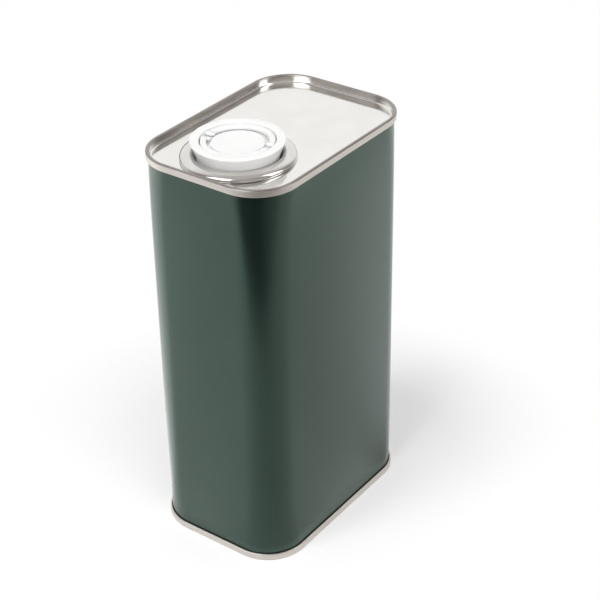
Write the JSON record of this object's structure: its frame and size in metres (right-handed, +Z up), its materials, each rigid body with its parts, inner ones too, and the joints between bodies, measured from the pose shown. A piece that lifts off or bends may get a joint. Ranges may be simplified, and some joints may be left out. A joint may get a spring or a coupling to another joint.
{
  "type": "oil tin with pull-up spout",
  "caption": "Tall rounded rectangular oil can of painted tinplate with double-seamed ends and a nested pull-up pouring spout under a white screw cap with bail handles.",
  "frame": {"origin": "centre of the foot, on the surface that the tin stands on", "axes": "+Z up, X along the long side with the closure towards -X, Y along the short side"},
  "size_m": [0.0998, 0.0684, 0.1831],
  "materials": {
    "green_paint": "satin dark green lacquer",
    "tinplate": "bright tinplate",
    "seam_compound": "dull",
    "spout_plastic": "soft satin",
    "cap_plastic": "white satin",
    "liner_foam": "dull"
  },
  "bodies": {
    "tin": {"body_wall": "green_paint", "lid": "tinplate", "base": "tinplate", "lid_seam_compound": "seam_compound", "base_seam_compound": "seam_compound", "crimp_ring": "tinplate", "spout_flange": "spout_plastic", "spout_bellows": "spout_plastic"},
    "spout": {"pour_spout": "spout_plastic"},
    "liner": {"cap_liner": "liner_foam"},
    "cap": {"screw_cap": "cap_plastic"},
    "left_bail": {"bail_left": "cap_plastic"},
    "right_bail": {"bail_right": "cap_plastic"}
  },
  "joints": [
    {"name": "spout_pull", "type": "slide", "parent": "tin", "child": "spout", "axis": [0, 0, 1], "range_m": [0, 0.021], "deforming": ["spout_bellows"]},
    {"name": "cap_rise", "type": "slide", "parent": "spout", "child": "liner", "axis": [0, 0, 1], "range_m": [0, 0.012]},
    {"name": "cap_unscrew", "type": "hinge", "parent": "liner", "child": "cap", "pos_m": [-0.0229, 0, 0.1783], "axis": [0, 0, 1], "range_deg": [0, 720]},
    {"name": "left_bail_lift", "type": "hinge", "parent": "cap", "child": "left_bail", "pos_m": [-0.02505, -0.00046, 0.18175], "axis": [-0.2079, 0.9781, 0], "range_deg": [0, 90]},
    {"name": "right_bail_lift", "type": "hinge", "parent": "cap", "child": "right_bail", "pos_m": [-0.02075, 0.00046, 0.18175], "axis": [0.2079, -0.9781, 0], "range_deg": [0, 90]}
  ],
  "couplings": [
    {"joint": "cap_rise", "follows": "cap_unscrew", "m_per_rad": 0.00095493}
  ]
}
